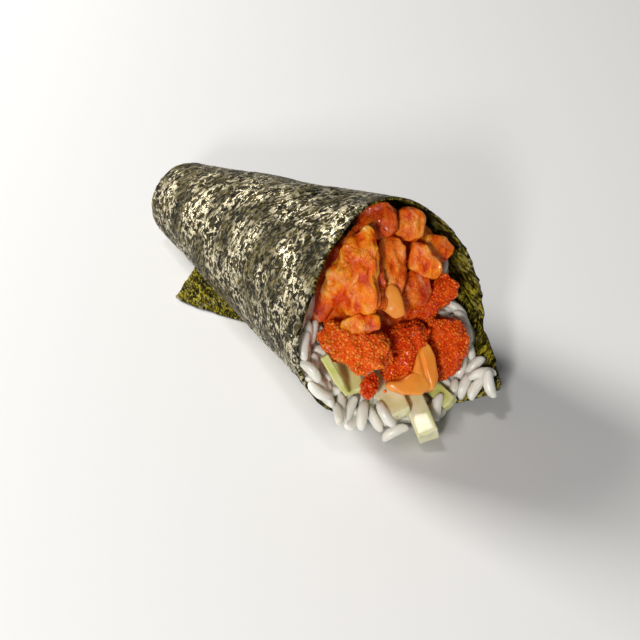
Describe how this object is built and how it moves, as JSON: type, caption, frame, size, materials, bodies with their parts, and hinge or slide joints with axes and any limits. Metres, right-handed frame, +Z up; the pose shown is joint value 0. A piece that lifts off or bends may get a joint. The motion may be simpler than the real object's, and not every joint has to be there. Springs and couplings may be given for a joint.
{
  "type": "temaki hand roll",
  "caption": "Cone-shaped seaweed hand roll lying on its side, lined with rice and filled with salmon, fish roe, cucumber sticks and sauce.",
  "frame": {"origin": "on the surface that the roll lies on, under the middle of its bounding box", "axes": "+X runs along the roll from the closed tip to the open mouth, +Z is up, +Y is towards the roll's back"},
  "size_m": [0.1354, 0.0642, 0.0602],
  "materials": {
    "nori": "satin",
    "rice": "moist, slightly translucent",
    "cucumber": "moist",
    "salmon": "glossy",
    "roe": "glossy",
    "sauce": "glossy"
  },
  "bodies": {
    "root": {"nori": "nori", "rice": "rice", "cucumber_1": "cucumber", "cucumber_2": "cucumber", "cucumber_3": "cucumber", "cucumber_4": "cucumber", "cucumber_5": "cucumber", "salmon_1": "salmon", "salmon_2": "salmon", "salmon_3": "salmon", "salmon_4": "salmon", "salmon_5": "salmon", "salmon_6": "salmon", "salmon_7": "salmon", "salmon_8": "salmon", "salmon_9": "salmon", "roe_1": "roe", "roe_2": "roe", "roe_3": "roe", "roe_4": "roe", "roe_5": "roe", "sauce_1": "sauce", "sauce_2": "sauce", "salmon_heart": "salmon"}
  },
  "joints": []
}
